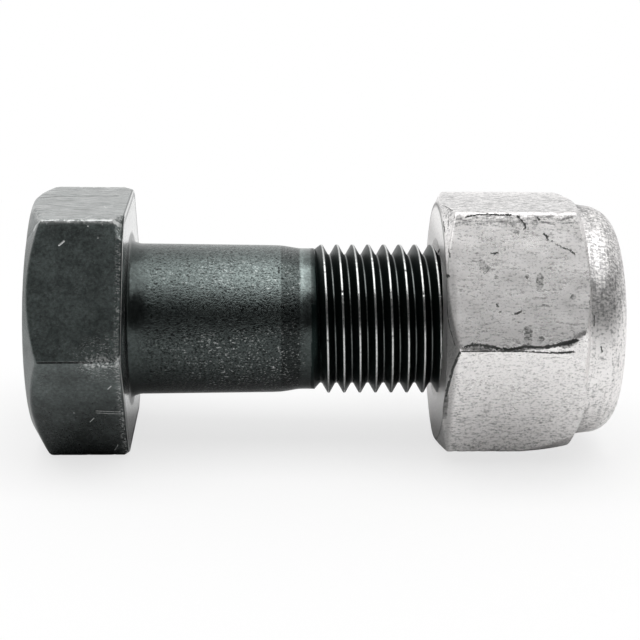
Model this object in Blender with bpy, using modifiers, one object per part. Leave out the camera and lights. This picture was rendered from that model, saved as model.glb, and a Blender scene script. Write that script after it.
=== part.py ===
# Hexagon bolt with a locking nut on its thread: M12 x 1.25, 35 mm long under the head.
# Metres, +Z up. The bolt's axis is +X and the origin is the centre of the head's outer face.
# The bolt lies on two of its flats, as it comes to rest on a table.

from math import ceil, cos, pi, radians, sin, tan

import bmesh
import bpy
from mathutils import Matrix

# Bolt head
ACROSS_FLATS = 0.019
HEAD_HEIGHT = 0.0075
HEAD_FACE_DIAMETER = 0.0174
HEAD_CHAMFER = radians(30)
CORNER_ROUND = 0.00025
BEARING_EDGE = 0.0004
FILLET = 0.0007

# Shank, undercut and thread, all measured from the bearing face under the head
BOLT_LENGTH = 0.035
SHANK_DIAMETER = 0.012
SHANK_END_DIAMETER = 0.01174
SHOULDER_START = 0.0119
UNDERCUT_START = 0.0133
SHOULDER_BULGE = 0.35
UNDERCUT_DIAMETER = 0.01125
THREAD_START = 0.0145
TIP_CHAMFER = 0.0009

# Thread form, shared by the bolt and the nut
PITCH = 0.00125
THREAD_DIAMETER = 0.0118
THREAD_DEPTH = 0.00077
CREST_FLAT = 0.00016
FLANK = radians(30)
THREAD_PHASE = 0.00107
RADIAL_CLEARANCE = 0.00025
FLANK_CLEARANCE = 0.00018

# Nut, measured from its bearing face, which lies GRIP_LENGTH from the one under the head
GRIP_LENGTH = 0.02424
NUT_TURN = radians(-5)
NUT_HEX_HEIGHT = 0.0108
NUT_FACE_DIAMETER = 0.0185
NUT_CHAMFER = radians(27)
CROWN_START = 0.0046
CROWN_RADIUS = 0.028
CROWN_EDGE = 0.0006
COUNTERSINK_DIAMETER = 0.0129
COLLAR_LENGTH = 0.0032
COLLAR_WALL = 0.0016
COLLAR_FLARE = 0.00015
COLLAR_ROUND = 0.0024
LIP_THICKNESS = 0.00065
LIP_HOLE_DIAMETER = 0.013

# Nylon ring in the collar: its bore clears the thread, its wall is measured outwards from there,
# and the collar's wall outwards from the ring's seat
RING_BORE_CLEARANCE = 0.00025
RING_WALL = 0.00105
RING_THICKNESS = 0.0021
RING_CLEARANCE = 0.0003

# Roundness of the turned surfaces
TURN_SEGMENTS = 50
THREAD_SEGMENTS = 24
ARC_STEPS = 5
SMOOTH_BELOW = radians(35)

# How far the helper shapes reach past the surfaces that they meet
OVERLAP = 0.0005
SINK = 0.00005
SKIN = 0.00001

bearingX = HEAD_HEIGHT
nutX = HEAD_HEIGHT + GRIP_LENGTH
tipX = HEAD_HEIGHT + BOLT_LENGTH
threadRadius = THREAD_DIAMETER / 2
rootRadius = threadRadius - THREAD_DEPTH
cornerRadius = ACROSS_FLATS / 2 / cos(radians(30))
ringBoreRadius = threadRadius + RING_BORE_CLEARANCE
ringRadius = ringBoreRadius + RING_WALL
seatRadius = ringRadius + RING_CLEARANCE
collarRadius = seatRadius + COLLAR_WALL
hexEnd = nutX + NUT_HEX_HEIGHT
nutEnd = hexEnd + COLLAR_LENGTH
outside = cornerRadius * 1.2


# Scene and materials
def emptyScene():
    for item in list(bpy.data.objects):
        bpy.data.objects.remove(item, do_unlink=True)
    collections = {}
    for name in ("bolt_with_nut", "cutters"):
        collections[name] = bpy.data.collections.new(name)
        bpy.context.scene.collection.children.link(collections[name])
    return collections["bolt_with_nut"], collections["cutters"]


def paint(item, name, colour, roughness, metallic):
    material = bpy.data.materials.new(name)
    material.use_nodes = True
    shader = material.node_tree.nodes["Principled BSDF"]
    shader.inputs["Base Color"].default_value = (*colour, 1)
    shader.inputs["Roughness"].default_value = roughness
    shader.inputs["Metallic"].default_value = metallic
    item.data.materials.clear()
    item.data.materials.append(material)


# Solids from Blender's tools
def asCutter(item):
    item.display_type = "WIRE"
    item.hide_render = True
    cutters.objects.link(item)
    return item


def asPart(item, material, colour, roughness, metallic):
    for holder in list(item.users_collection):
        holder.objects.unlink(item)
    parts.objects.link(item)
    item.hide_render = False
    item.display_type = "TEXTURED"
    closedMesh(item)
    item.data.shade_smooth()
    item.data.set_sharp_from_angle(angle=SMOOTH_BELOW)
    paint(item, material, colour, roughness, metallic)
    return item


def closedMesh(item):
    """Make the evaluated shape of an object its own mesh, welded, capped and facing out."""
    graph = bpy.context.evaluated_depsgraph_get()
    graph.update()
    mesh = bpy.data.meshes.new_from_object(item.evaluated_get(graph))
    work = bmesh.new()
    work.from_mesh(mesh)
    bmesh.ops.remove_doubles(work, verts=work.verts, dist=1e-6)
    openEdges = [edge for edge in work.edges if edge.is_boundary]
    bmesh.ops.holes_fill(work, edges=openEdges)
    bmesh.ops.recalc_face_normals(work, faces=work.faces)
    work.to_mesh(mesh)
    work.free()
    item.modifiers.clear()
    item.data = mesh
    return item


def revolved(name, profile, segments, rise=0, turns=1):
    """Turn a profile of (x, radius) points about the X axis; rise lifts it along X each turn."""
    mesh = bpy.data.meshes.new(name)
    points = [(x, 0, radius) for x, radius in profile]
    lines = [(k, k + 1) for k in range(len(points) - 1)]
    if rise:
        lines.append((len(points) - 1, 0))
    mesh.from_pydata(points, lines, [])
    item = bpy.data.objects.new(name, mesh)
    asCutter(item)
    screw = item.modifiers.new("Turn", "SCREW")
    screw.axis = "X"
    screw.steps = screw.render_steps = segments
    screw.screw_offset = rise
    screw.iterations = turns
    screw.use_merge_vertices = not rise
    screw.merge_threshold = 1e-6
    return closedMesh(item)


def hexagonBar(name, start, end, turn):
    """A hexagonal bar along X with its corner edges rounded and, unturned, a flat underneath."""
    bar = bmesh.new()
    along = Matrix.Rotation(radians(90), 4, "Y")
    placed = Matrix.Translation(((start + end) / 2, 0, 0)) @ Matrix.Rotation(turn, 4, "X") @ along
    bmesh.ops.create_cone(bar, cap_ends=True, segments=6, radius1=cornerRadius,
                          radius2=cornerRadius, depth=end - start, matrix=placed)
    longEdges = [edge for edge in bar.edges if abs(edge.verts[0].co.x - edge.verts[1].co.x) > OVERLAP]
    bmesh.ops.bevel(bar, geom=longEdges, offset=CORNER_ROUND, segments=2, profile=0.5,
                    affect="EDGES")
    mesh = bpy.data.meshes.new(name)
    bar.to_mesh(mesh)
    bar.free()
    return bpy.data.objects.new(name, mesh)


def combine(item, operation, other):
    step = item.modifiers.new(other.name, "BOOLEAN")
    step.operation = operation
    step.solver = "EXACT"
    step.object = other


def arc(centreX, centreRadius, size, first, last):
    """Points on a round of the profile, between two angles measured from the axis direction."""
    angles = [first + (last - first) * k / ARC_STEPS for k in range(ARC_STEPS + 1)]
    return [(centreX + size * cos(a), centreRadius + size * sin(a)) for a in angles]


def ridge(name, start, end, core, raised=0, widened=0):
    """One long right-handed ridge of the thread form, closed at both ends, whose foot is sunk
    into a core. All ridges share THREAD_PHASE. The tap's is raised and widened by the clearances."""
    crest = threadRadius + raised
    foot = core - SINK
    halfCrest = CREST_FLAT / 2 + widened - raised * tan(FLANK)
    halfFoot = halfCrest + (crest - foot) * tan(FLANK)
    first = THREAD_PHASE + PITCH * (ceil((start - THREAD_PHASE) / PITCH) + 0.25)
    turns = ceil((end - first) / PITCH)
    base = foot - 3 * SINK
    section = [(-halfFoot, base), (-halfFoot, foot), (-halfCrest, crest),
               (halfCrest, crest), (halfFoot, foot), (halfFoot, base)]
    profile = [(bearingX + first + x, radius) for x, radius in section]
    return revolved(name, profile, THREAD_SEGMENTS, rise=PITCH, turns=turns)


# Pieces
def makeBolt():
    faceRadius = HEAD_FACE_DIAMETER / 2
    chamferDepth = (outside - faceRadius) * tan(HEAD_CHAMFER)
    headForm = revolved("head_form", [
        (0, 0), (0, faceRadius), (chamferDepth, outside),
        (bearingX - BEARING_EDGE * 2, outside),
        (bearingX - BEARING_EDGE, cornerRadius), (bearingX, cornerRadius - BEARING_EDGE),
        (bearingX, 0)], TURN_SEGMENTS)
    shankRadius = SHANK_DIAMETER / 2
    endRadius = SHANK_END_DIAMETER / 2
    undercutRadius = UNDERCUT_DIAMETER / 2
    shoulder = endRadius - undercutRadius
    body = [(bearingX - OVERLAP, 0), (bearingX - OVERLAP, shankRadius + FILLET)]
    body += arc(bearingX + FILLET, shankRadius + FILLET, FILLET, pi, 1.5 * pi)
    body += [(bearingX + SHOULDER_START, endRadius),
             (bearingX + (SHOULDER_START + UNDERCUT_START) / 2, endRadius - shoulder * SHOULDER_BULGE),
             (bearingX + UNDERCUT_START, undercutRadius),
             (bearingX + THREAD_START, undercutRadius),
             (bearingX + THREAD_START + (undercutRadius - rootRadius), rootRadius),
             (tipX - TIP_CHAMFER + THREAD_DEPTH, rootRadius),
             (tipX, threadRadius - TIP_CHAMFER), (tipX, 0)]
    shank = revolved("shank_form", body, THREAD_SEGMENTS)
    runOut = bearingX + THREAD_START
    threadEnd = tipX - SINK
    threadForm = revolved("thread_form", [
        (runOut - PITCH, 0), (runOut - PITCH, undercutRadius - SINK),
        (runOut, undercutRadius - SINK), (runOut + PITCH / 2, threadRadius + SINK),
        (runOut + PITCH, outside), (threadEnd - TIP_CHAMFER - outside + threadRadius, outside),
        (threadEnd, threadRadius - TIP_CHAMFER), (threadEnd, 0)], TURN_SEGMENTS)
    thread = ridge("thread_ridge", THREAD_START - PITCH, BOLT_LENGTH, rootRadius)
    combine(thread, "INTERSECT", threadForm)
    bolt = hexagonBar("bolt", -OVERLAP, bearingX + OVERLAP, 0)
    combine(bolt, "INTERSECT", headForm)
    combine(bolt, "UNION", shank)
    combine(bolt, "UNION", thread)
    return asPart(bolt, "black_oxide", (0.035, 0.043, 0.042), 0.42, 0.9)


def ringSeat():
    """The nylon ring's near and far ends along X, under the collar's rolled lip."""
    far = nutEnd - LIP_THICKNESS - RING_CLEARANCE
    return far - RING_THICKNESS, far


def makeNut():
    faceRadius = NUT_FACE_DIAMETER / 2
    crownEnd = NUT_HEX_HEIGHT - CROWN_EDGE
    crown = []
    for k in range(ARC_STEPS + 1):
        x = CROWN_START + (crownEnd - CROWN_START) * k / ARC_STEPS
        crown.append((nutX + x, cornerRadius - (x - CROWN_START) ** 2 / (2 * CROWN_RADIUS)))
    nutForm = revolved("nut_form", [
        (nutX, 0), (nutX, faceRadius),
        (nutX + (cornerRadius - faceRadius) * tan(NUT_CHAMFER), cornerRadius + SKIN),
        *[(x, radius + SKIN) for x, radius in crown],
        (hexEnd, crown[-1][1] - CROWN_EDGE), (hexEnd, 0)], TURN_SEGMENTS)
    collar = revolved("collar_form", [
        (hexEnd - OVERLAP, 0), (hexEnd - OVERLAP, collarRadius + COLLAR_FLARE),
        *arc(nutEnd - COLLAR_ROUND, collarRadius - COLLAR_ROUND, COLLAR_ROUND, pi / 2, 0),
        (nutEnd, 0)], TURN_SEGMENTS)
    nearSeat, farSeat = ringSeat()
    boreRadius = rootRadius + RADIAL_CLEARANCE
    sinkRadius = COUNTERSINK_DIAMETER / 2
    bore = revolved("bore_form", [
        (nutX - OVERLAP, 0), (nutX - OVERLAP, sinkRadius + OVERLAP),
        (nutX + sinkRadius - boreRadius, boreRadius),
        (nearSeat - RING_CLEARANCE, boreRadius),
        (nearSeat - RING_CLEARANCE, seatRadius),
        (farSeat + RING_CLEARANCE, seatRadius),
        (farSeat + RING_CLEARANCE, LIP_HOLE_DIAMETER / 2),
        (nutEnd + OVERLAP, LIP_HOLE_DIAMETER / 2), (nutEnd + OVERLAP, 0)], THREAD_SEGMENTS)
    tap = ridge("tap_ridge", GRIP_LENGTH - 2 * PITCH, farSeat - bearingX, boreRadius,
                RADIAL_CLEARANCE, FLANK_CLEARANCE)
    nut = hexagonBar("lock_nut", nutX - OVERLAP, hexEnd + OVERLAP, NUT_TURN)
    combine(nut, "INTERSECT", nutForm)
    combine(nut, "UNION", collar)
    combine(nut, "DIFFERENCE", bore)
    combine(nut, "DIFFERENCE", tap)
    return asPart(nut, "zinc_plate", (0.62, 0.62, 0.61), 0.34, 0.9)


def makeRing():
    near, far = ringSeat()
    ring = revolved("nylon_insert", [
        (near, ringBoreRadius), (near, ringRadius), (far, ringRadius), (far, ringBoreRadius),
        (near, ringBoreRadius)], 2 * THREAD_SEGMENTS)
    return asPart(ring, "nylon", (0.72, 0.72, 0.68), 0.5, 0)


def carryNut(*pieces):
    """An empty on the bolt's axis at the nut's bearing face, which carries what moves."""
    carrier = bpy.data.objects.new("nut_axis", None)
    carrier.location = (nutX, 0, 0)
    parts.objects.link(carrier)
    for piece in pieces:
        piece.parent = carrier
        piece.matrix_parent_inverse = Matrix.Translation((-nutX, 0, 0))


parts, cutters = emptyScene()
makeBolt()
carryNut(makeNut(), makeRing())
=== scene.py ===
from math import ceil, cos, pi, radians, sin, tan

import bmesh
import bpy
import numpy as np
from mathutils import Matrix, Vector


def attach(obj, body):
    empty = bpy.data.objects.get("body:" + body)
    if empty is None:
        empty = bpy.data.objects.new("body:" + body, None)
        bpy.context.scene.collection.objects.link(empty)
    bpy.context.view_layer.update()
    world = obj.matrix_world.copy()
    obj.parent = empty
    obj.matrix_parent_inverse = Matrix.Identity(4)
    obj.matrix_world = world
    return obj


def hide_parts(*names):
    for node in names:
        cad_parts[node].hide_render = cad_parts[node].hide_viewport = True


# Looks of a black bolt with a bright locking nut. Sizes are in millimetres along and across the
# bolt, whose axis is X; makeMesh turns them into metres.
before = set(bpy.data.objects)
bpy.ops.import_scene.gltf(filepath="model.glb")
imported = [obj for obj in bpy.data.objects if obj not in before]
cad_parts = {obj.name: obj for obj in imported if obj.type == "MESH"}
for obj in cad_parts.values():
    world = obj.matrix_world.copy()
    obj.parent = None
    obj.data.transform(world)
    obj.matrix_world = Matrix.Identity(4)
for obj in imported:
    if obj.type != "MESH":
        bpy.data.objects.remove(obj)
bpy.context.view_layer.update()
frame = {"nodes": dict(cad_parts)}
mm = 0.001
print("frame loaded:", ", ".join(frame["nodes"]))

thread = {
    "pitch": 1.25,
    "diameter": 11.88,
    "depth": 0.8,
    "crestFlat": 0.15,
    "flank": radians(30),
    "crestAt": 8.57,        # x of a crest at angle 0, the same for bolt and nut
}
columns = 324               # points round each surface
cornerPull = 0.1            # how strongly they gather at a hexagon's corners
curveRows = 4               # rows on each rounded corner of a profile
edgeStep = 0.03             # from the edges of a thread's faces to the rows beside them
sharpAngle = radians(32)    # edges above it are shaded sharp
weld = 2e-7                 # metres: points closer than this are merged
flatRow = np.zeros(columns + 1)


# Surfaces: rows of points (x, radius), each an array over the angle round the axis

# Angles round the axis, from +Y towards +Z, with both ends of the circle, drawn together at the
# six corners of a hexagon turned by turn: angle = t + turn - cornerPull * sin(6 t).
def cornerAngles(turn):
    t = np.linspace(0, 2 * pi, columns + 1)
    return t + turn - cornerPull * np.sin(6 * t)


# Distance from the axis to a hexagon whose corner edges are arcs: flat / cos(a) on the flats and,
# round each arc's centre at distance c along the corner, c cos(b) + sqrt(round^2 - c^2 sin(b)^2).
def hexagonRadius(angle, flat, rounding, turn):
    fromFlat = np.abs((angle - turn) % radians(60) - radians(30))
    fromCorner = radians(30) - fromFlat
    centre = (flat - rounding) / cos(radians(30))
    arc = centre * np.cos(fromCorner) + np.sqrt(
        np.maximum(rounding ** 2 - (centre * np.sin(fromCorner)) ** 2, 0))
    onArc = fromFlat > np.arctan((flat - rounding) * tan(radians(30)) / flat)
    return np.where(onArc, arc, flat / np.cos(fromFlat))


# 1 at an angle given in degrees, falling smoothly to 0 at 60 degrees from it: 2 cos(a) - 1.
def near(angle, degrees):
    return np.clip(np.cos(angle - radians(degrees)) * 2 - 1, 0, 1)


# A size that is `usual` all round, except near the given angles, where it takes other values.
def varied(angle, usual, *others):
    return usual + sum((size - usual) * near(angle, degrees) for degrees, size in others)


# 1 on a hexagon's corner arcs, falling to 0 at so many degrees from the middle of its flats.
def cornerShare(hexagon, flat, degrees, width=0.25):
    return np.clip((hexagon - flat / cos(radians(degrees))) / width, 0, 1)


# The share of light from the side at so many degrees: base + gain cos(a), at least `least`.
def facing(angle, degrees, base, gain, least):
    return np.clip(base + gain * np.cos(angle - radians(degrees)), least, 1)


# Smooth waves over the surface, mostly between -1 and 1: a sum of sines whose directions and
# phases are seeded.
def waves(x, angle, seed, size, count=14):
    random = np.random.default_rng(seed)
    total = 0
    for k in range(count):
        across = round(random.normal() * 2 * pi * 9 / size)
        along = random.normal() * 2 * pi / size
        total = total + np.sin(along * x + across * angle + random.uniform(0, 2 * pi))
    return total / count ** 0.5 / 1.5


# Spots where those waves stand above a level, by how much they do.
def spots(x, angle, seed, size, level, count=14):
    return np.clip(waves(x, angle, seed, size, count) - level, 0, 1)


# Radii with plane dents cut into them: each plane lies `top` from the axis at its own x and angle,
# leans along the axis, and cuts off what stands above (top - (x - its x) tan(lean)) / cos(a).
def cutDents(r, x, angle, dents, where):
    for atX, degrees, top, lean in dents:
        away = np.maximum(np.cos(angle - radians(degrees)), 0.05)
        cut = (top - (x - atX) * tan(radians(lean))) / away
        r = np.where(where, np.minimum(r, cut), r)
    return r


# Rows along a profile whose corners are rounded: each corner is a quadratic curve that starts and
# ends `rounds` before and after it, at most 0.45 of the neighbouring side, and each side between
# two curves is divided evenly.
def roundedRows(corners, rounds, between):
    points = [np.stack([x + flatRow, r + flatRow]) for x, r in corners]
    sides = [b - a for a, b in zip(points, points[1:])]
    lengths = [np.maximum(np.hypot(*side), 1e-9) for side in sides]
    rows = [points[0]]
    for k, side in enumerate(sides):
        before = rows[-1]
        if k + 1 < len(sides):
            reach = np.minimum(rounds[k], 0.45 * np.minimum(lengths[k], lengths[k + 1]))
            start = points[k + 1] - side / lengths[k] * reach
            end = points[k + 1] + sides[k + 1] / lengths[k + 1] * reach
        else:
            start = points[k + 1]
        for t in np.linspace(0, 1, between[k] + 1)[1:]:
            rows.append(before + (start - before) * t)
        if k + 1 < len(sides):
            for t in np.linspace(0, 1, curveRows + 1)[1:]:
                rows.append((1 - t) ** 2 * start + 2 * t * (1 - t) * points[k + 1] + t * t * end)
    return rows


# Distance along the axis to the nearest crest of the thread.
def crestDistance(x, angle):
    pitch = thread["pitch"]
    along = x - thread["crestAt"] - pitch * angle / (2 * pi) + pitch / 2
    return np.abs(along % pitch - pitch / 2)


# Rows that follow a right-handed thread between start and end: a place s from the crest lies at
# x = crestAt + turn * pitch + s + pitch * angle / (2 pi), held between the two ends, so that the
# rows at angle 0 and at a full circle fall on each other. form(s, x) gives the radius there.
def threadRows(angle, start, end, places, form):
    pitch = thread["pitch"]
    lift = pitch * angle / (2 * pi)
    first = int((start - thread["crestAt"]) / pitch) - 3
    last = int(ceil((end - thread["crestAt"]) / pitch)) + 2
    rows = []
    for turn in range(first, last):
        for s in places:
            x = np.clip(thread["crestAt"] + turn * pitch + s + lift, start, end)
            rows.append(np.stack([x, form(crestDistance(x, angle), x)]))
    return rows


# A closed mesh from rows of (x, radius): the point at an angle is (x, radius cos, radius sin).
# Points that fall on each other are merged, which closes the seam, the poles and the ends of the
# thread. The attributes are for the materials.
def makeMesh(name, rows, angle, attributes):
    grid = np.array(rows)
    x, radius = grid[:, 0], grid[:, 1]
    count, across = x.shape
    points = np.stack([x, radius * np.cos(angle), radius * np.sin(angle)], axis=-1) * mm
    index = np.arange(count * across).reshape(count, across)
    quads = np.stack([index[:-1, :-1], index[:-1, 1:], index[1:, 1:], index[1:, :-1]], axis=-1)
    mesh = bpy.data.meshes.new(name)
    mesh.from_pydata(points.reshape(-1, 3), [], quads.reshape(-1, 4))
    for key, values in attributes.items():
        layer = mesh.attributes.new(key, "FLOAT", "POINT")
        layer.data.foreach_set("value", values.astype(np.float32).ravel())
    work = bmesh.new()
    work.from_mesh(mesh)
    bmesh.ops.remove_doubles(work, verts=work.verts, dist=weld)
    bmesh.ops.dissolve_degenerate(work, edges=work.edges, dist=weld / 20)
    bmesh.ops.recalc_face_normals(work, faces=work.faces)
    work.to_mesh(mesh)
    work.free()
    mesh.shade_smooth()
    mesh.set_sharp_from_angle(angle=sharpAngle)
    piece = bpy.data.objects.new(name, mesh)
    bpy.context.scene.collection.objects.link(piece)
    return piece


bolt = {
    "acrossFlats": 19.0,
    "headHeight": 7.5,
    "faceDiameter": 17.4,
    "fullCorner": (60, 0.8),  # angle of the corner that the chamfer cuts least, and how much less
    "fullRound": 1.6,         # added rounding of the chamfer's outer edge there
    "chamfer": radians(30),
    "cornerRound": 0.18,
    "bearingEdge": 0.4,       # at the corners; the flats have a quarter of it
    "fillet": 0.7,
    "filletBend": (0.12, 0.3),  # a point of the fillet, as shares of its reach along and across
    "shankDiameter": 12.0,
    "shankEndDiameter": 11.74,
    "shoulder": 19.4,
    "undercut": 20.8,
    "undercutDiameter": 11.25,
    "threadStart": 22.0,
    "threadLead": 0.35,       # how far before it the neck's own rows end
    "runOut": 0.6,            # length over which the first ridge rises
    "crestSoft": 0.018,       # rounding of the crests' edges
    "tip": 42.5,
    "tipChamfer": 0.9,
    # rounding of each corner of the profile and rows on each side, from the face to the neck
    "rounds": (0.15, 0.28, 0.07, 0.07, 0.3, 0.3, 0.2, 1.0, 0.3),
    "rows": (6, 8, 30, 2, 20, 2, 2, 10, 5, 4),
    "forging": (3, 5.0),      # waves on the head: seed and size
    "forgingHeight": 0.018,
    "forgingEdge": 0.6,       # they fade over this length before the bearing face
    "crushed": (8, 0.9, 0.25),  # spots on the corners: seed, size and level
    "crushedDepth": 0.05,
    "crestSpots": (5, 0.7, 0.45, 24),  # the same on the crests, and the number of waves
    "crestSpotDepth": 0.1,
    "crestStretch": 0.6,      # of those spots, along the axis
    "dents": [                # x, angle in degrees, distance from the axis, lean in degrees
        (7.1, 121, 10.5, 46), (7.3, 62, 10.6, 30), (4.4, 299, 10.7, 4)],
    "wornFrom": 27.0,         # degrees from a flat's middle at which the corner's wear starts
    "wornAndLitSide": (95, 0.35, 0.65, 0.12),  # the side facing the light, where the corners are most worn and carry a painted highlight, as facing() takes it
    "wornLength": (0.8, 4.0),  # x at which the wear has grown in, and from which it gains
    "crestBand": 1.15,        # half width of the crests' bright band over that of their flat
    "crestTop": 0.3,          # depth that the band reaches
    "rootBand": 0.05,         # half width of the thin painted highlight in the thread's roots
    # strength of the painted highlight in the thread's roots
    "rootHighlight": 0.16,
    "turnedLine": (0.35, 0.17),  # inside the bearing face's edge: place and half width
}
nut = {
    "acrossFlats": 19.0,
    "bearing": 31.74,
    "height": 14.0,
    "hexHeight": 10.8,
    "faceDiameter": 18.5,
    "fullCorner": (235, 0.45),
    "chamfer": radians(27),
    "turn": radians(-5),
    "cornerRound": 0.36,
    "crownStart": 4.6,
    "crownRadius": 34.0,
    "otherCrowns": [(235, 20.0), (115, 300.0)],  # angle and radius of other corners' crowns
    "crownLeast": 0.0004,     # least depth of the crown where the hexagon meets it
    "crownMargin": 0.1,       # between the crown's end and the far chamfer
    "crownGuess": 0.5,        # how far from the hexagon's end the far chamfer's depth is taken
    "endCone": 0.5,           # length of the far chamfer for each mm that it takes off the radius
    "collarStep": (0.04, 0.07),  # of the collar's foot, along the axis and across it
    "collarWall": 1.6,
    "collarFlare": 0.15,
    "collarRound": 2.4,
    "lowRound": (240, 2.0),   # the same on the lower side
    "lip": 0.65,
    "lipHole": 13.0,
    "seatStep": 0.6,          # from the bore to the rounding at the seat's near end
    "countersink": 12.9,
    "boreDiameter": 10.74,
    "flankPlay": 0.05,
    "crestPlay": 0.08,
    "hexRounds": (0.1, 0.12), "hexRows": (9, 7, 40), "crownRows": 8,
    "collarRounds": (0.1, 0.08), "collarRows": (2, 5, 6), "bendRows": 12,
    "innerRounds": (0.25, 0.1, 0.1, 0.1), "innerRows": (4, 3, 3, 4, 3),
    "evenRows": 3,            # of the near face, which nothing dents
    "forging": (21, 3.2),
    "collarForging": (33, 1.6),
    "forgingHeight": 0.007,
    "crushed": (27, 1.0, 0.2),
    "crushedDepth": 0.07,
    "dents": [(41.6, 174, 10.4, 17), (36.4, 294, 10.72, 5)],
    "wornFrom": 27.6,
    # the side facing the light, where the corners are worn and carry a painted highlight
    "wornAndLitSide": (100, 0.2, 1.1, 0.0),
    "rimLine": (0.03, 0.13),  # worn line past the chamfer's end: place and half width
    "outline": (0.1, 0.2),    # dark line inside the near face's edge
}
ring = {"diameter": 14.4, "bore": 12.3, "thickness": 2.1, "behindLip": 0.3, "seatPlay": 0.3}


# Bolt: face, chamfer, hexagon, bearing face, fillet, shank, shoulder, undercut, thread and tip in
# one surface from pole to pole. The thread's radius falls from its crest by (s - half the flat) /
# tan(flank) down to the root, and its first ridge rises evenly from the neck.
def makeBolt():
    angle = cornerAngles(0)
    flat = bolt["acrossFlats"] / 2
    corner = flat / cos(radians(30))
    at, less = bolt["fullCorner"]
    full = near(angle, at)
    face = bolt["faceDiameter"] / 2 + less * full
    bearing = bolt["headHeight"]
    hexagon = hexagonRadius(angle, flat, bolt["cornerRound"], 0)
    edge = np.maximum(bolt["bearingEdge"] / 4, hexagon - (corner - bolt["bearingEdge"]))
    shank, end = bolt["shankDiameter"] / 2, bolt["shankEndDiameter"] / 2
    neck = bolt["undercutDiameter"] / 2
    fillet = bolt["fillet"]
    bendAlong, bendAcross = bolt["filletBend"]
    start = bolt["threadStart"] - bolt["threadLead"]
    rounds = list(bolt["rounds"])
    rounds[1] = rounds[1] + bolt["fullRound"] * full
    rows = roundedRows(
        [(0, 0), (0, face), ((hexagon - face) * tan(bolt["chamfer"]), hexagon),
         (bearing - edge, hexagon), (bearing, hexagon - edge), (bearing, shank + fillet),
         (bearing + fillet * bendAlong, shank + fillet * bendAcross), (bearing + fillet, shank),
         (bolt["shoulder"], end), (bolt["undercut"], neck), (start, neck)],
        rounds, bolt["rows"])
    headRows = len(rows)
    pitch = thread["pitch"]
    radius = thread["diameter"] / 2
    root = radius - thread["depth"]
    half = thread["crestFlat"] / 2
    slope = tan(thread["flank"])
    foot = half + thread["depth"] * slope
    tip = bolt["tip"]

    def form(s, x):
        rounded = radius - bolt["crestSoft"] * np.clip((s / half) ** 6, 0, 1)
        ridge = np.clip(radius - (s - half) / slope, root, rounded)
        into = x - bolt["threadStart"]
        low = np.clip(neck - into, root, neck)
        rising = np.clip(neck + (radius - neck) * into / bolt["runOut"], neck, radius)
        chamfer = radius + np.minimum(tip - x, bolt["tipChamfer"]) - bolt["tipChamfer"]
        return np.minimum(np.maximum(ridge, low), np.minimum(rising, chamfer))

    places = [-half - edgeStep, -half, 0.0, half, half + edgeStep, foot - edgeStep,
              foot + edgeStep, pitch / 2, pitch - foot - edgeStep, pitch - foot + edgeStep]
    rows += threadRows(angle, start, tip, places, form)
    threadCount = len(rows) - headRows
    rows.append(np.stack([tip + flatRow, 0.5 * rows[-1][1]]))
    rows.append(np.stack([tip + flatRow, flatRow]))
    grid = np.array(rows)
    x, r = grid[:, 0], grid[:, 1]

    # bright wear on the hexagon's corner arcs, with a painted highlight on their upper side, bright
    # wear on the thread's crests, a faint painted highlight in the thread's roots, and the turned
    # line on the bearing face
    head = x < bearing
    grown, gaining = bolt["wornLength"]
    corners = cornerShare(hexagon, flat, bolt["wornFrom"])
    wornAndLit = corners * facing(angle, *bolt["wornAndLitSide"]) * np.clip(x / grown, 0, 1)
    wornAndLit = wornAndLit * (0.8 + 0.2 * np.clip((x - gaining) / 2, 0, 1))
    fromCrest = crestDistance(x, angle)
    crest = np.clip(bolt["crestBand"] - fromCrest / half, 0, 1)
    crest = crest * (x > bolt["threadStart"]) * (r > radius - bolt["crestTop"])
    inRoot = np.clip(1 - (pitch / 2 - fromCrest) / bolt["rootBand"], 0, 1)
    ridges = x > bolt["threadStart"] + bolt["runOut"]
    rootHighlight = bolt["rootHighlight"] * inRoot * ridges * (r < root + 0.05)
    wearAndHighlight = np.where(head & (r > face + 0.1), wornAndLit, np.maximum(crest, rootHighlight))
    flank = (1 - inRoot) * (1 - crest) * (x > start + 0.05) * (x < tip - 0.05)
    lineAt, lineHalf = bolt["turnedLine"]
    inside = hexagon - edge - r
    turned = np.clip(1.6 - np.abs(inside - lineAt) / lineHalf, 0, 1) * (abs(x - bearing) < 0.05)

    # forging waves on the head, crushed spots on the corners and crests, and dents
    onHead = head & (r > face)
    fading = np.clip((bearing - x) / bolt["forgingEdge"], 0, 1)
    forging = bolt["forgingHeight"] * waves(x, angle, *bolt["forging"]) * fading
    crushed = bolt["crushedDepth"] * corners * spots(x, angle, *bolt["crushed"])
    r = cutDents(np.where(onHead, r + forging - crushed, r), x, angle, bolt["dents"], onHead)
    crestSpots = spots(x * bolt["crestStretch"], angle, *bolt["crestSpots"])
    grid[:, 1] = r - bolt["crestSpotDepth"] * crestSpots * crest
    piece = makeMesh("bolt_body", grid, angle, {"wearAndHighlight": wearAndHighlight, "flank": flank, "turned": turned})
    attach(piece, "bolt")
    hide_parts("bolt")
    print("bolt:", headRows, "head rows,", threadCount, "thread rows")
    return piece


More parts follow.
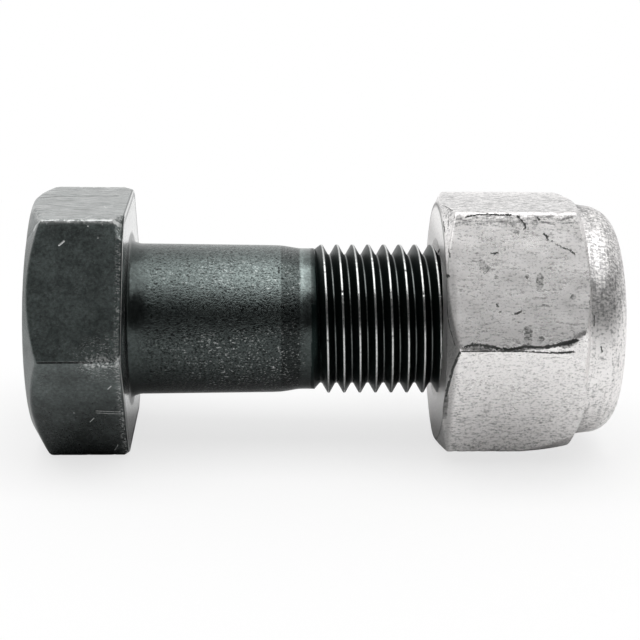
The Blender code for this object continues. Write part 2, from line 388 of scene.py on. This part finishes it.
# Nut: bearing face, chamfer, hexagon under a crown, rolled collar, lip, ring seat and threaded
# bore in one surface that closes on itself. The crown's radius is that of the corners less
# (x - its start)^2 / (2 crownRadius), wherever that is less than the hexagon's.
def makeNut():
    angle = cornerAngles(nut["turn"])
    flat = nut["acrossFlats"] / 2
    corner = flat / cos(radians(30))
    at, less = nut["fullCorner"]
    face = nut["faceDiameter"] / 2 + less * near(angle, at)
    start = nut["bearing"]
    far = start + nut["height"]
    hexEnd = start + nut["hexHeight"]
    hexagon = hexagonRadius(angle, flat, nut["cornerRound"], nut["turn"])
    chamferEnd = start + (hexagon - face) * tan(nut["chamfer"])
    crownStart = start + nut["crownStart"]
    crownRadius = varied(angle, nut["crownRadius"], *nut["otherCrowns"])

    def crown(x):
        return np.minimum(hexagon, corner - (x - crownStart) ** 2 / (2 * crownRadius))

    crownDepth = np.maximum(corner - hexagon, nut["crownLeast"])
    cut = nut["endCone"] * (crown(hexEnd - nut["crownGuess"]) - flat)
    crownEnd = hexEnd - nut["crownMargin"] - cut
    meets = np.minimum(crownStart + np.sqrt(crownDepth * 2 * crownRadius), crownEnd)
    lipRadius = nut["lipHole"] / 2
    seat = ring["diameter"] / 2 + ring["seatPlay"]
    collar = seat + nut["collarWall"]
    bend = varied(angle, nut["collarRound"], nut["lowRound"])
    seatFar = far - nut["lip"]
    seatNear = seatFar - ring["thickness"] - 2 * ring["behindLip"]
    sink = nut["countersink"] / 2
    minor = nut["boreDiameter"] / 2
    stepAlong, stepAcross = nut["collarStep"]
    outer = roundedRows([(start, sink), (start, face), (chamferEnd, hexagon), (meets, hexagon)],
                        nut["hexRounds"], nut["hexRows"])
    for t in np.linspace(0, 1, nut["crownRows"] + 1)[1:]:
        x = meets + (crownEnd - meets) * t
        outer.append(np.stack([x, crown(x)]))
    outer += roundedRows(
        [(crownEnd, crown(crownEnd)), (hexEnd, flat - stepAcross),
         (hexEnd + stepAlong, collar + nut["collarFlare"]), (far - bend, collar)],
        nut["collarRounds"], nut["collarRows"])[1:]
    for t in np.linspace(0, pi / 2, nut["bendRows"] + 1)[1:]:
        outer.append(np.stack([far - bend + bend * sin(t), collar - bend + bend * cos(t)]))
    inner = roundedRows(
        [(far, collar - bend), (far, lipRadius), (seatFar, lipRadius), (seatFar, seat),
         (seatNear, seat), (seatNear, minor + nut["seatStep"])],
        nut["innerRounds"], nut["innerRows"])[1:]
    pitch = thread["pitch"]
    radius = thread["diameter"] / 2
    half = thread["crestFlat"] / 2 + nut["flankPlay"]
    slope = tan(thread["flank"])
    foot = half + (radius - minor) * slope
    top = half - nut["crestPlay"] * slope

    def form(s, x):
        groove = np.clip(radius - (s - half) / slope, minor, radius + nut["crestPlay"])
        return np.maximum(groove, np.clip(sink - (x - start), minor, sink))

    places = [-top, top, (top + foot) / 2, foot - edgeStep, foot + edgeStep,
              pitch - foot - edgeStep, pitch - foot + edgeStep, pitch - (top + foot) / 2]
    bore = threadRows(angle, start, seatNear, places, form)[::-1]
    grid = np.array(outer + inner + bore)
    x, r = grid[:, 0], grid[:, 1]

    # bright wear on the corners and along the chamfer's end, strongest on the upper side, where a
    # highlight is painted; a dark line on the near face
    outside = np.zeros(x.shape, bool)
    outside[nut["evenRows"]:len(outer)] = True
    onHexagon = outside & (x > start + 0.25) & (x < hexEnd - 0.05) & (r > collar)
    corners = cornerShare(hexagon, flat, nut["wornFrom"])
    upper = facing(angle, *nut["wornAndLitSide"])
    rimAt, rimHalf = nut["rimLine"]
    rim = np.clip(1 - np.abs(x - chamferEnd - rimAt) / rimHalf, 0, 1)
    rim = rim * outside * (0.5 + 0.5 * upper)
    wearAndHighlight = np.maximum(np.where(onHexagon, corners * upper, 0.0), rim)
    lineAt, lineHalf = nut["outline"]
    outline = np.clip(1.3 - np.abs(r - face + lineAt) / lineHalf, 0, 1) * (x < start + 0.3)

    # forging waves, crushed spots on the corners, and dents
    height = nut["forgingHeight"]
    forging = height * waves(x, angle, *nut["forging"])
    crushed = nut["crushedDepth"] * corners * spots(x, angle, *nut["crushed"])
    r = np.where(onHexagon, r + forging - crushed, r)
    r = np.where(outside & ~onHexagon, r + height * waves(x, angle, *nut["collarForging"]), r)
    grid[:, 1] = cutDents(r, x, angle, nut["dents"], onHexagon)
    piece = makeMesh("nut_body", grid, angle, {"wearAndHighlight": wearAndHighlight, "outline": outline})
    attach(piece, "nut")
    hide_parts("lock_nut")
    print("nut:", len(outer), "outer rows,", len(bore), "thread rows")
    return piece


# Nylon ring: a rounded rectangle turned about the axis, from the middle of its bore and back.
def makeRing():
    angle = np.linspace(0, 2 * pi, columns + 1)
    farEnd = nut["bearing"] + nut["height"] - nut["lip"] - ring["behindLip"]
    nearEnd = farEnd - ring["thickness"]
    outer, inner = ring["diameter"] / 2, ring["bore"] / 2
    middle = (nearEnd + farEnd) / 2
    rows = roundedRows(
        [(middle, inner), (nearEnd, inner), (nearEnd, outer), (farEnd, outer), (farEnd, inner),
         (middle, inner)], [0.25, 0.15, 0.15, 0.25], [3, 3, 4, 3, 3])
    piece = makeMesh("nylon_ring", rows, angle, {})
    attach(piece, "ring")
    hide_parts("nylon_insert")
    print("ring made")
    return piece


# Materials: a wire is an output socket that can be used like a number or a vector
class Wire:
    def __init__(self, paint, socket):
        self.paint = paint
        self.socket = socket

    def isVector(self):
        return self.socket.type in ("VECTOR", "RGBA")

    def math(self, operation, other=None, swap=False):
        vector = self.isVector() or isinstance(other, tuple)
        if isinstance(other, Wire):
            vector = vector or other.isVector()
        values = [self] if other is None else [other, self] if swap else [self, other]
        if vector:
            values = [(v, v, v) if isinstance(v, (int, float)) else v for v in values]
        kind = "VectorMath" if vector else "Math"
        return self.paint.node(kind, {"operation": operation}, dict(enumerate(values)))

    def __add__(self, other):
        return self.math("ADD", other)

    def __sub__(self, other):
        return self.math("SUBTRACT", other)

    def __mul__(self, other):
        return self.math("MULTIPLY", other)

    def __rsub__(self, other):
        return self.math("SUBTRACT", other, swap=True)

    __radd__ = __add__
    __rmul__ = __mul__

    def lowest(self, other):
        return self.math("MINIMUM", other)

    def highest(self, other):
        return self.math("MAXIMUM", other)

    def dot(self, other):
        return self.paint.node("VectorMath", {"operation": "DOT_PRODUCT"}, {0: self, 1: other}, 1)

    def length(self):
        return self.paint.node("VectorMath", {"operation": "LENGTH"}, {0: self}, 1)

    def part(self, axis):
        return self.paint.node("SeparateXYZ", {}, {0: self}, axis)

    # 0 below low, 1 above high and a smooth step between them; high below low turns it round
    def step(self, low, high):
        if low > high:
            return 1 - self.step(high, low)
        return self.paint.node("MapRange", {"interpolation_type": "SMOOTHSTEP"},
                               {"Value": self, "From Min": low, "From Max": high})


# The strongest of several masks
def strongest(*wires):
    most = wires[0]
    for wire in wires[1:]:
        most = most.highest(wire)
    return most


# One material, whose nodes are added as wires
class Paint:
    def __init__(self, name):
        self.material = bpy.data.materials.new(name)
        self.material.use_nodes = True
        self.tree = self.material.node_tree
        self.shader = self.tree.nodes["Principled BSDF"]
        self.place = self.node("TexCoord", {}, {}, 3) * (1 / mm)    # object coordinates in mm

    # any node, from its type, its settings and the values or wires of its sockets
    def node(self, kind, settings, sockets, output=0):
        made = self.tree.nodes.new("ShaderNode" + kind)
        for key, value in settings.items():
            setattr(made, key, value)
        for key, value in sockets.items():
            self.feed(made.inputs[key], value)
        return Wire(self, made.outputs[output])

    def feed(self, socket, value):
        if isinstance(value, Wire):
            self.tree.links.new(value.socket, socket)
        elif socket.type == "RGBA" and len(value) == 3:
            socket.default_value = (*value, 1)
        else:
            socket.default_value = value

    def noise(self, scale, stretch=(1, 1, 1), detail=3, rough=0.55, shift=0):
        at = self.place * stretch + (shift, shift, shift)
        return self.node("TexNoise", {}, {"Vector": at, "Scale": scale, "Detail": detail,
                                          "Roughness": rough})

    def mix(self, share, low, high):
        return self.node("Mix", {"data_type": "RGBA"}, {0: share, 6: low, 7: high}, 2)

    # 1 on a straight mark from one point to another, fading over its half width: the distance is
    # |p - a - clamp(t) (b - a)| with t the share of the way from a to b
    def mark(self, at, start, end, width, core=None):
        along = tuple(b - a for a, b in zip(start, end))
        size = max(sum(v * v for v in along), 1e-9)
        away = at - start
        share = away.dot(along) * (1 / size)
        share = share.highest(0.0).lowest(1.0)
        nearest = self.node("VectorMath", {"operation": "SCALE"}, {0: along, "Scale": share})
        return (away - nearest).length().step(width, width * 0.35 if core is None else core)

    # the strongest of several marks, each given as its half width and the points it runs through
    def marks(self, at, runs):
        return strongest(*[self.mark(at, start, end, width) for width, *points in runs
                           for start, end in zip(points, points[1:] or points)])

    def attribute(self, name):
        return self.node("Attribute", {"attribute_name": name}, {}, 2)

    def bump(self, height, distance, strength=1.0, normal=None):
        sockets = {"Height": height, "Distance": distance, "Strength": strength}
        if normal:
            sockets["Normal"] = normal
        return self.node("Bump", {}, sockets)

    def finish(self, **values):
        for key, value in values.items():
            self.feed(self.shader.inputs[key], value)
        return self.material


# Points in millimetres on a hexagon's flat, from the flat's angle and each place's x and distance
# across the flat: (x, flat cos - across sin, flat sin + across cos).
def onFlat(degrees, *places):
    flat = bolt["acrossFlats"] / 2
    a = radians(degrees)
    return [(x, flat * cos(a) - s * sin(a), flat * sin(a) + s * cos(a)) for x, s in places]


# Points on a round surface, from its radius and each place's x and angle.
def onRound(radius, *places):
    return [(x, radius * cos(radians(d)), radius * sin(radians(d))) for x, d in places]


blackOxide = {
    "colour": (0.056, 0.066, 0.064),
    "flank": (0.009, 0.015, 0.014),
    # bright steel, for worn spots and for the painted highlights and glints
    "wornAndLit": (0.78, 0.79, 0.78),
    "metal": 0.95,
    "headDull": 0.45,         # how much less metallic the forged head is
    "roughness": 0.24,
    "noises": {
        "grain": dict(scale=3.6, detail=4, rough=0.7),
        "cloud": dict(scale=0.5, detail=4, rough=0.6, shift=11),
        "streak": dict(scale=1.0, stretch=(0.6, 8.0, 8.0), detail=4, rough=0.7, shift=17),
        "pit": dict(scale=7.5, stretch=(0.7, 1.0, 1.0), rough=0.7, shift=30),
        "cluster": dict(scale=0.8, shift=7),
        "scratch": dict(scale=1.0, stretch=(5.0, 9.0, 14.0), rough=0.65, shift=23),
        "corner": dict(scale=2.6, detail=4, rough=0.75, shift=3),
    },
    "headEnd": (7.45, 7.3),   # x between which the head's look fades out
    "threadStart": (21.8, 22.2),
    "zones": {                # x between which each fades in, and then out
        "shank": ((8.0, 9.5), (21.6, 20.4)),
        "neck": ((19.3, 19.42), (21.0, 20.7)),
        # a painted highlight on the neck's upper side
        "neckHighlight": ((20.7, 20.95), (21.75, 21.6)),
        "bearing": ((7.42, 7.48), (7.62, 7.54)),
        "rim": ((6.8, 7.25), (7.42, 7.3)),
    },
    # half width, then places on the head and shank: a crumbled corner, a rubbed patch, bright
    # scratches and nicks, and dark lines
    "crumbs": (0.75, *onRound(10.9, (5.3, 180), (7.3, 180))),
    "rubbed": (2.6, *onFlat(150, (5.9, 5.4), (7.3, 5.4))),
    "scratches": [
        (0.09, *onFlat(150, (2.76, -3.51), (3.12, -3.82))), (0.07, *onFlat(150, (4.88, -4.99))),
        (0.05, *onFlat(150, (5.65, -4.06))), (0.06, *onFlat(210, (6.63, -2.89), (6.38, -2.55))),
        (0.035, *onFlat(210, (5.29, 0.04), (7.10, 0.17))),
        (0.035, *onFlat(210, (5.27, 0.28), (7.16, 0.41))), (0.07, *onFlat(210, (3.60, 0.28))),
        (0.04, *onFlat(210, (5.07, 0.89), (4.73, 1.37))),
        (0.05, *onFlat(210, (6.67, 4.22), (6.40, 4.85))),
        (0.06, *onFlat(90, (4.60, 4.90), (5.05, 4.30))),
        (0.05, *onFlat(90, (5.66, 1.17), (5.9, 1.9))),
        (0.13, *onRound(5.92, (30.34, 144.7))), (0.1, *onRound(5.92, (31.6, 145.5)))],
    "lines": [
        (0.13, *onFlat(90, (0.37, -1.49), (1.87, -2.1), (4.23, -2.2), (6.45, -2.19))),
        (0.12, *onFlat(150, (1.2, 5.45), (3.4, 5.42), (5.4, 5.45))),
        (0.06, *onRound(6.0, (9.79, 123), (10.1, 123))),
        (0.06, *onRound(6.0, (16.42, 124), (16.9, 123.2), (17.42, 122.9))),
        (0.07, *onRound(5.88, (19.2, 119.9), (19.2, 125.8)))],
}


# Black oxide: dark, a little green, clouded on the forged head and finely pitted on the shank, with
# bright steel where corners and crests are rubbed through, painted glints as bright specks,
# painted highlights on the upper corners, the upper shank and the neck, and painted shade
# underneath.
def paintBolt():
    paint = Paint("black_oxide_steel")
    p = paint.place
    x, z = p.part(0), p.part(2)
    wearAndHighlight, flank, turned = [paint.attribute(name) for name in ("wearAndHighlight", "flank", "turned")]
    noises = {name: paint.noise(**values) for name, values in blackOxide["noises"].items()}
    grain, cloud, streak, pit = [noises[name] for name in ("grain", "cloud", "streak", "pit")]
    zones = {name: x.step(*fadeIn) * x.step(*fadeOut)
             for name, (fadeIn, fadeOut) in blackOxide["zones"].items()}
    shank = zones["shank"]
    head = x.step(*blackOxide["headEnd"])
    radius = (p * (0.0, 1.0, 1.0)).length()

    # where bright metal shows, with painted highlights on the upper corners and in the thread's
    # roots, and painted glints as bright specks
    corner = (noises["corner"] * 1.9 + wearAndHighlight - 1.5).step(0.0, 0.3) * head * 0.7
    crest = wearAndHighlight * x.step(*blackOxide["threadStart"]) * (grain.step(0.35, 0.6) * 0.3 + 0.8)
    # painted glints: bright specks, more on the shank's lower half and towards the thread
    below = z.step(1.0, -1.0) * 0.5 + 0.5
    glintAmount = shank * (x.step(8.5, 16.0) * 0.5 + 0.1) * below + head * 0.06 + 0.03
    paintedGlints = pit.step(0.57, 0.68) * noises["cluster"].step(0.3, 0.6) * glintAmount
    lines = paint.marks(p, blackOxide["lines"])
    bearing = zones["bearing"] * radius.step(6.7, 7.1) * (cloud * 0.5 + 0.45)
    bearing = bearing * (1 - turned * 0.95)
    upperFlat = z.step(9.1, 9.4) * head * (streak.step(0.4, 0.6) * 0.4 + grain * 0.16)
    upperFlat = upperFlat * (1 - lines)
    rim = zones["rim"] * pit.step(0.5, 0.62) * 0.5
    crumbs = paint.marks(p, [blackOxide["crumbs"]]) * grain.step(0.46, 0.6) * 0.6
    rubbed = paint.marks(p, [blackOxide["rubbed"]]) * noises["scratch"].step(0.56, 0.66) * 0.6
    scratched = paint.marks(p, blackOxide["scratches"]) * 0.75
    bright = strongest(corner, crest, paintedGlints, rim, rubbed, scratched, bearing, upperFlat, crumbs)

    # the oxide's tone: clouded on the head, polished on the shank towards the thread with a painted
    # highlight on its upper side, painted shade underneath, darker in the pits and where the neck
    # starts, and a painted highlight on the neck's upper side
    polishAndHighlight = shank * (x.step(9.0, 18.5) * 0.9 + 0.75) * z.step(1.0, 3.2)
    clouded = (cloud * 2.6 + 0.2) * head + (1 - head) * 0.95
    # the last factor of the tone is painted shade underneath
    tone = clouded * (grain * 2.2 - 0.1) * (polishAndHighlight + 1.0) * (z.step(-8.0, 0.0) * 0.6 + 0.4)
    neckHighlight = zones["neckHighlight"] * z.step(0.8, 3.0) * 1.1
    tone = tone * (1 - zones["neck"] * 0.5) * (1 - lines * 0.8) * (neckHighlight + 1.0)
    tone = (tone * (1 - pit.step(0.47, 0.38) * shank * 0.8)).highest(0.1)
    oxide = paint.mix(flank, tone * blackOxide["colour"], blackOxide["flank"])
    colour = paint.mix(bright, oxide, blackOxide["wornAndLit"])
    rough = cloud * 0.08 + grain * 0.1 + (blackOxide["roughness"] - 0.09) + flank * 0.15
    fine = paint.bump(grain, 0.00003, 0.4)
    pitted = paint.bump(pit.step(0.35, 0.65) * shank, 0.00002, 0.5, fine)
    cut = paint.bump(1 - lines - scratched * 0.6, 0.00006, 0.8, pitted)
    return paint.finish(**{"Base Color": colour, "Roughness": rough - bearing * 0.2,
                           "Metallic": blackOxide["metal"] - head * blackOxide["headDull"],
                           "Normal": cut})


zincPlate = {
    "dark": (0.33, 0.325, 0.325),
    "light": (0.97, 0.95, 0.94),
    "gouge": (0.06, 0.062, 0.06),
    "metal": 0.85,
    "roughness": 0.28,
    "noises": {
        "stroke": dict(scale=1.0, stretch=(1.7, 6.0, 6.0), detail=4, rough=0.7),
        "slant": dict(scale=1.0, stretch=(2.6, 7.0, 5.0), rough=0.6, shift=40),
        "grain": dict(scale=5.5, rough=0.7, shift=9),
        "cloud": dict(scale=0.45, shift=4),
        "blot": dict(scale=1.3, stretch=(1.0, 1.4, 1.4), detail=4, rough=0.65, shift=60),
        "wobble": dict(scale=1.9, detail=2, shift=2),
        "turned": dict(scale=1.0, stretch=(4.5, 0.5, 0.5), rough=0.6, shift=77),
    },
    "collar": (42.5, 42.8),   # x between which its look fades in
    "nearChamfer": (32.7, 32.2),
    # half width, then places on the flats, on the round collar or on the chamfer near the head
    "gouges": [
        (0.09, *onFlat(145, (33.36, -5.06), (33.82, -5.22), (34.43, -5.27), (35.96, -5.27),
                       (36.8, -5.25))),
        (0.11, *onFlat(145, (37.3, -5.15), (37.6, -4.8), (37.79, -4.5), (37.81, -4.17))),
        (0.07, *onFlat(145, (38.04, -4.17))), (0.12, *onFlat(145, (38.84, -5.0), (38.96, -4.9))),
        (0.12, *onFlat(145, (39.23, -3.69), (39.51, -3.29))), (0.09, *onFlat(145, (39.81, -3.15))),
        (0.06, *onFlat(145, (40.1, -2.9), (40.7, -2.6), (41.28, -2.33), (41.5, -2.05))),
        (0.09, *onFlat(145, (35.14, -2.12), (35.67, -2.15))), (0.06, *onFlat(145, (36.2, -2.4))),
        (0.13, *onFlat(145, (35.43, 1.9), (35.5, 2.05))), (0.1, *onFlat(145, (35.63, 2.51))),
        (0.1, *onFlat(145, (36.75, 2.65), (37.2, 2.45))),
        (0.16, *onFlat(145, (32.99, 5.2), (33.45, 5.07), (34.04, 5.04), (34.63, 5.15), (35.21, 5.3),
                       (35.88, 5.4), (36.85, 5.35), (37.16, 5.2), (37.98, 5.2), (38.86, 5.25))),
        (0.17, *onFlat(145, (38.86, 5.25), (39.99, 5.0))),
        (0.24, *onFlat(145, (39.99, 5.0), (41.5, 4.66))),
        (0.1, *onFlat(205, (32.7, -5.38), (37.5, -5.38)), *onRound(10.82, (39.5, 176.2)),
              *onRound(10.56, (41.6, 176.2))),
        (0.07, *onRound(9.6, (42.46, 154), (42.5, 159))),
        (0.06, *onRound(9.2, (42.56, 157), (42.81, 162.3), (42.8, 166))),
        (0.09, *onRound(8.9, (44.5, 168.5), (44.62, 171))),
        (0.05, *onRound(9.1, (43.9, 164.6), (44.5, 168.5))),
        (0.08, *onRound(9.1, (43.4, 176), (43.5, 178.5))), (0.06, *onRound(9.1, (43.66, 174.5))),
        (0.09, *onRound(9.73, (31.99, 96)), *onRound(10.54, (32.4, 111))),
        (0.08, *onRound(9.45, (31.84, 109.9), (31.84, 117.7))),
        (0.09, *onRound(10.0, (32.13, 114)), *onRound(9.77, (32.0, 136.8))),
        (0.16, *onRound(9.3, (31.75, 142.5)), *onRound(10.1, (32.15, 144.8))),
        (0.09, *onRound(9.2, (31.72, 153.9)), *onRound(9.5, (31.87, 165.5)),
               *onRound(10.24, (32.24, 173.6))),
        (0.16, *onRound(10.8, (32.55, 176)), *onRound(10.1, (32.17, 184)),
               *onRound(9.46, (31.85, 200.4)), *onRound(9.29, (31.76, 211.6)))],
    "stains": [
        (0.55, *onFlat(145, (34.4, -1.35), (34.8, -0.9))), (0.42, *onFlat(145, (37.15, -3.9))),
        (0.3, *onFlat(145, (37.78, -0.33))), (0.3, *onFlat(145, (35.5, -0.3))),
        (0.5, *onFlat(145, (38.8, -0.3), (38.7, 0.4))), (0.3, *onFlat(145, (36.9, -4.4))),
        (0.6, *onFlat(145, (37.7, 3.9), (37.6, 5.0))), (0.5, *onFlat(145, (38.6, 4.6))),
        (0.42, *onFlat(145, (40.4, 5.2), (41.6, 4.85))),
        (0.3, *onFlat(145, (33.5, 5.3), (34.8, 5.4))),
        (0.25, *onFlat(145, (36.9, 5.4), (37.3, 5.4))), (0.4, *onFlat(145, (41.2, 1.3)))],
    "scratches": [
        (0.045, *onFlat(145, (38.48, 0.78), (39.46, 0.78))),
        (0.045, *onFlat(145, (38.3, 2.04), (39.55, 2.04))),
        (0.05, *onFlat(205, (34.4, -1.5), (34.7, -1.2), (35.0, -1.16))),
        (0.05, *onFlat(205, (33.52, -0.6), (34.43, -0.75))),
        (0.05, *onFlat(205, (37.42, -1.24), (38.21, -0.8))),
        (0.05, *onFlat(205, (39.2, -1.5), (40.4, -1.9))),
        (0.05, *onFlat(205, (36.9, 0.3), (37.3, 0.75))), (0.05, *onFlat(205, (39.73, 2.47)))],
    "chips": [
        (0.2, *onFlat(145, (36.95, -5.35), (37.15, -5.3))), (0.1, *onFlat(145, (38.95, -5.2))),
        (0.05, *onFlat(145, (32.53, -2.94), (40.17, -2.86), (42.15, -2.9))),
        (0.16, *onRound(9.65, (31.93, 139.2))), (0.17, *onRound(9.9, (32.05, 147.0))),
        (0.08, *onFlat(145, (35.2, 0.5))), (0.08, *onFlat(145, (35.8, -2.5)))],
}


# Zinc plate: pale, ground in short strokes along the axis, with nicks, stains, gouges and blunt
# bright corners that carry a painted highlight on their upper side, painted shade at the bottom
# and on the collar's upper side, and a painted reflection of the bolt on the near chamfer.
def paintNut():
    paint = Paint("zinc_plated_steel")
    p = paint.place
    x, z = p.part(0), p.part(2)
    wearAndHighlight, outline = paint.attribute("wearAndHighlight"), paint.attribute("outline")
    noises = {name: paint.noise(**values) for name, values in zincPlate["noises"].items()}
    stroke, grain, cloud, blot = [noises[name] for name in ("stroke", "grain", "cloud", "blot")]
    wobble = p + (noises["wobble"] - 0.5) * 0.2 + (grain - 0.5) * 0.35

    # marks with ragged edges, and the top and bottom; the darker bottom is painted shade
    gouges = (paint.marks(wobble, zincPlate["gouges"]) * 1.6 + grain * 1.3 - 1.0).step(0.0, 0.5)
    stained = paint.marks(wobble, zincPlate["stains"])
    stains = (stained + (grain + stroke) * 1.9 - 2.6).step(0.0, 0.5)
    stains = stains * (stained.step(0.0, 0.15) * 0.7 + 0.3)
    scratches = paint.marks(wobble, zincPlate["scratches"])
    chips = paint.marks(p, zincPlate["chips"])
    low, upper = z.step(0.0, -8.0), z.step(8.9, 9.3)
    collar = x.step(*zincPlate["collar"])
    # nicks, denser at the bottom as painted shade
    nicks = (noises["slant"] + low * 0.06 + upper * 0.04).step(0.56, 0.7) * blot.step(0.35, 0.6)

    # from dark to light by the strokes and the grain, then the dark marks and a painted reflection
    # over it
    light = stroke * (upper * 1.6 + 3.3) + grain * 3.2 + cloud * 0.15 - 2.3
    # the bottom darker as painted shade, the top flat darker with stronger strokes
    light = light - low * 0.15 - upper * 1.3
    turned = noises["turned"].step(0.45, 0.6)
    # the collar darker on its upper side, painted shade against the lamp's highlight, and turned
    # lines
    light = light - collar * (z.step(1.0, 5.0) * 0.5 + turned * 0.4 - 0.1)
    light = strongest(light, chips, wearAndHighlight * (grain * 0.8 + 0.55)).lowest(1.0).highest(0.0)
    # painted reflection of the dark bolt on the near chamfer, below its top
    darkReflection = x.step(*zincPlate["nearChamfer"]) * (1 - z.step(5.5, 8.5)) * (stroke + 0.15) * 0.7
    dark = strongest(gouges, stains * 0.9, scratches * 0.75, nicks * 0.5,
                     upper * stroke.step(0.48, 0.36) * 0.5, outline * (blot + 0.4) * 0.9,
                     blot.step(0.66, 0.78) * 0.4, darkReflection)
    colour = paint.mix(light, zincPlate["dark"], zincPlate["light"])
    colour = paint.mix(dark, colour, zincPlate["gouge"])
    rough = cloud * 0.03 + stroke * 0.06 + (zincPlate["roughness"] - 0.045)
    rough = rough + dark * 0.2 + collar * 0.14
    fine = paint.bump(stroke * 0.6 + grain * 0.4, 0.00002, 0.25)
    cut = paint.bump(1 - gouges - nicks * 0.03 - scratches * 0.3, 0.00007, 0.8, fine)
    return paint.finish(**{"Base Color": colour, "Roughness": rough, "Normal": cut,
                           "Metallic": zincPlate["metal"]})


nylon = {"dark": (0.62, 0.62, 0.58), "light": (0.72, 0.72, 0.68), "roughness": 0.45}


# Nylon: off-white, clouded.
def paintRing():
    paint = Paint("nylon")
    colour = paint.mix(paint.noise(0.8).step(0.3, 0.7), nylon["dark"], nylon["light"])
    return paint.finish(**{"Base Color": colour, "Roughness": nylon["roughness"],
                           "Normal": paint.bump(paint.noise(3.0), 0.00002, 0.3)})


boltPiece = makeBolt()
nutPiece = makeNut()
ringPiece = makeRing()
boltPiece.data.materials.append(paintBolt())
nutPiece.data.materials.append(paintNut())
ringPiece.data.materials.append(paintRing())
print("materials made")

stage = {
    "focal": 94.2,
    "sensor": 36,
    "distance": 134.18,
    "elevation": radians(17.54),
    "yaw": radians(1.7),
    "target": (22.67, 0, 0),
    "aside": 0.16,            # how far the camera stands to the left of its line to the target
    "lowerBy": 0.12,
    "floorSize": 3.0,         # metres
    "floorTone": 0.95,
    "floorGap": 0.01,
    "headTouches": 0.46,      # x at which the head stands on the floor
    "nutTouches": 1.5,        # and how far from its bearing face the nut does
    "shadowReach": (32, 80),  # mm round the axis between which the floor turns plain white
    "shadowShare": 0.28,      # how much of the shadow the camera sees
    "overhead": {"place": (0.02, -0.03, 0.42), "target": (0.022, 0.0, 0), "size": (0.7, 0.4),
                 "radiance": 2.15},
    "darkFront": (-0.45, 0.05),  # direction along Y and strength of the world in front
    "whiteBack": (0.85, 1.0),
}


# Camera: looks along (sin yaw, cos yaw cos elevation, -cos yaw sin elevation) at the target.
def makeCamera():
    yaw, tilt = stage["yaw"], stage["elevation"]
    forward = Vector((sin(yaw), cos(yaw) * cos(tilt), -cos(yaw) * sin(tilt)))
    up = Vector((0, sin(tilt), cos(tilt)))
    right = forward.cross(up)
    data = bpy.data.cameras.new("camera")
    data.lens = stage["focal"]
    data.sensor_width = stage["sensor"]
    data.clip_start = 0.01
    data.clip_end = 10
    camera = bpy.data.objects.new("camera", data)
    place = Vector(stage["target"]) - forward * stage["distance"]
    place -= right * stage["aside"] + up * stage["lowerBy"]
    turned = Matrix((right, up, -forward)).transposed().to_4x4()
    camera.matrix_world = Matrix.Translation(place * mm) @ turned
    bpy.context.scene.collection.objects.link(camera)
    bpy.context.scene.camera = camera


# Floor: a plane through the head's outer lower edge and the nut's lowest corner. The camera sees
# it white, but for a share of the shadow under the bolt.
def makeFloor():
    headX, headZ = stage["headTouches"], -bolt["acrossFlats"] / 2
    nutX = nut["bearing"] + stage["nutTouches"]
    nutZ = min(v.co.z for v in nutPiece.data.vertices) / mm
    slope = (nutZ - headZ) / (nutX - headX)
    size = stage["floorSize"] / 2 / mm
    points = [(x, y, headZ - stage["floorGap"] + slope * (x - headX)) for x, y in
              ((-size, -size), (size, -size), (size, size), (-size, size))]
    mesh = bpy.data.meshes.new("floor")
    mesh.from_pydata(np.array(points) * mm, [], [(0, 1, 2, 3)])
    floor = bpy.data.objects.new("floor", mesh)
    bpy.context.scene.collection.objects.link(floor)
    paint = Paint("floor")
    camera = paint.node("LightPath", {}, {}, 0)
    gloss = paint.node("LightPath", {}, {}, 3).highest(paint.node("LightPath", {}, {}, 6))
    white = paint.node("Emission", {}, {"Color": (1, 1, 1), "Strength": 1.0})
    plain = paint.node("BsdfDiffuse", {}, {"Color": (stage["floorTone"],) * 3})
    full, none = stage["shadowReach"]
    end = (nut["bearing"] + nut["height"], 0, 0)
    under = paint.mark(paint.place, (0, 0, 0), end, none, full)
    seen = (camera * (1 - under * stage["shadowShare"])).highest(gloss * (1 - under))
    shown = paint.node("MixShader", {}, {0: seen, 1: plain, 2: white})
    paint.tree.nodes.remove(paint.shader)
    paint.feed(paint.tree.nodes["Material Output"].inputs[0], shown)
    mesh.materials.append(paint.material)


# Lamp: a white rectangle whose face has a given radiance, so its power is radiance * area * pi.
def makeLamp(name, place, target, size, radiance):
    data = bpy.data.lights.new(name, "AREA")
    data.shape = "RECTANGLE"
    data.size, data.size_y = size
    data.energy = radiance * size[0] * size[1] * pi
    lamp = bpy.data.objects.new(name, data)
    lamp.location = place
    lamp.rotation_euler = (Vector(target) - Vector(place)).to_track_quat("-Z", "Y").to_euler()
    lamp.visible_camera = False
    bpy.context.scene.collection.objects.link(lamp)


# World: white to the camera; for the object, dark in front and white behind.
def makeWorld():
    world = bpy.data.worlds.new("room")
    bpy.context.scene.world = world
    world.use_nodes = True
    tree = world.node_tree
    back, path, place, split, fade, seen = [tree.nodes["Background"]] + [
        tree.nodes.new("ShaderNode" + kind)
        for kind in ("LightPath", "TexCoord", "SeparateXYZ", "MapRange", "Math")]
    fade.interpolation_type = "SMOOTHSTEP"
    for end, (along, strength) in (("Min", stage["darkFront"]), ("Max", stage["whiteBack"])):
        fade.inputs["From " + end].default_value = along
        fade.inputs["To " + end].default_value = strength
    seen.operation = "MAXIMUM"
    back.inputs["Color"].default_value = (1, 1, 1, 1)
    for output, socket in (
            (place.outputs["Generated"], split.inputs[0]), (split.outputs[1], fade.inputs["Value"]),
            (path.outputs["Is Camera Ray"], seen.inputs[0]), (fade.outputs[0], seen.inputs[1]),
            (seen.outputs[0], back.inputs["Strength"])):
        tree.links.new(output, socket)


makeCamera()
makeFloor()
makeLamp("overhead", **stage["overhead"])
makeWorld()
bpy.context.scene.view_settings.view_transform = "Standard"
print("stage made")
